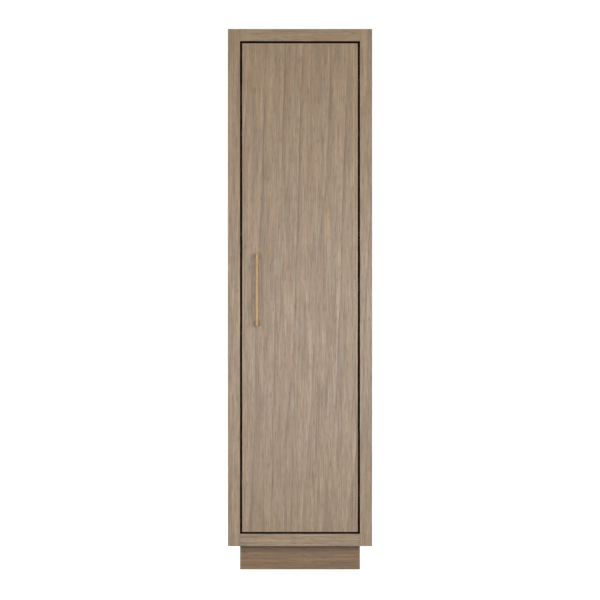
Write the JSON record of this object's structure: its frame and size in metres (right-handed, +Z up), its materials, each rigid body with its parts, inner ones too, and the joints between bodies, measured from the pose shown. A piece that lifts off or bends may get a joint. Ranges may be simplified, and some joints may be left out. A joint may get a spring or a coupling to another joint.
{
  "type": "tall storage cabinet",
  "caption": "Tall narrow oak storage cabinet with a framed front, a flush inset door on concealed cup hinges, a brass bar pull, inner shelves and a set-back plinth.",
  "frame": {"origin": "middle of the overall width and depth, pull included, at floor level", "axes": "+Z up, +X to the right of a person facing the door, +Y to the back; the door faces -Y"},
  "size_m": [0.457, 0.489, 1.715],
  "materials": {
    "oak_veneer": "matt lacquer",
    "oak_inside": "matt lacquer",
    "dark_oak": "dark stain",
    "back_board": "thin veneered board",
    "plain_softwood": "raw sawn",
    "beech_dowel": "raw turned",
    "satin_brass": "satin brushed",
    "insert_brass": "machined",
    "nickel_steel": "nickel plated",
    "black_steel": "black coated",
    "zinc_steel": "zinc plated",
    "clear_rubber": "soft translucent"
  },
  "bodies": {
    "carcass": {"back_panel": "back_board", "back_panel_screws": "zinc_steel", "bottom_panel": "oak_inside", "door_bumpers": "clear_rubber", "door_stop_lower": "dark_oak", "door_stop_upper": "dark_oak", "foot_inserts": "insert_brass", "frame_dowels": "beech_dowel", "frame_rail_bottom": "oak_veneer", "frame_rail_top": "oak_veneer", "frame_stile_left": "oak_veneer", "frame_stile_right": "oak_veneer", "hinge_arm_lower": "black_steel", "hinge_arm_middle": "black_steel", "hinge_arm_screws": "black_steel", "hinge_arm_upper": "black_steel", "hinge_block_lower": "oak_inside", "hinge_block_middle": "oak_inside", "hinge_block_upper": "oak_inside", "hinge_plate_lower": "black_steel", "hinge_plate_middle": "black_steel", "hinge_plate_screws": "black_steel", "hinge_plate_upper": "black_steel", "panel_dowels": "beech_dowel", "plinth_block_front_left": "plain_softwood", "plinth_block_front_right": "plain_softwood", "plinth_block_rear_left": "plain_softwood", "plinth_block_rear_right": "plain_softwood", "plinth_front": "oak_veneer", "plinth_rear": "plain_softwood", "plinth_screws": "zinc_steel", "plinth_side_left": "oak_veneer", "plinth_side_right": "oak_veneer", "shelf_fixed": "oak_inside", "shelf_lower": "oak_inside", "shelf_middle": "oak_inside", "shelf_pegs": "nickel_steel", "shelf_upper": "oak_inside", "side_panel_left": "oak_veneer", "side_panel_right": "oak_veneer", "top_panel": "oak_veneer", "wall_rail": "oak_inside"},
    "door": {"door_panel": "oak_veneer", "hinge_cup_lower": "black_steel", "hinge_cup_middle": "black_steel", "hinge_cup_screws": "black_steel", "hinge_cup_upper": "black_steel", "hinge_pin_lower": "black_steel", "hinge_pin_middle": "black_steel", "hinge_pin_upper": "black_steel", "pull_bar": "satin_brass", "pull_post_lower": "satin_brass", "pull_post_upper": "satin_brass", "pull_screws": "zinc_steel"},
    "foot_front_left": {"levelling_foot_front_left": "zinc_steel"},
    "foot_front_right": {"levelling_foot_front_right": "zinc_steel"},
    "foot_rear_left": {"levelling_foot_rear_left": "zinc_steel"},
    "foot_rear_right": {"levelling_foot_rear_right": "zinc_steel"}
  },
  "joints": [
    {"name": "door_swing", "type": "hinge", "parent": "carcass", "child": "door", "pos_m": [0.16148, -0.2, 0.896], "axis": [0, 0, 1], "range_deg": [0, 100]},
    {"name": "foot_front_left_thread", "type": "slide", "parent": "carcass", "child": "foot_front_left", "axis": [0, 0, -1], "range_m": [0, 0.015]},
    {"name": "foot_front_right_thread", "type": "slide", "parent": "carcass", "child": "foot_front_right", "axis": [0, 0, -1], "range_m": [0, 0.015]},
    {"name": "foot_rear_left_thread", "type": "slide", "parent": "carcass", "child": "foot_rear_left", "axis": [0, 0, -1], "range_m": [0, 0.015]},
    {"name": "foot_rear_right_thread", "type": "slide", "parent": "carcass", "child": "foot_rear_right", "axis": [0, 0, -1], "range_m": [0, 0.015]}
  ]
}
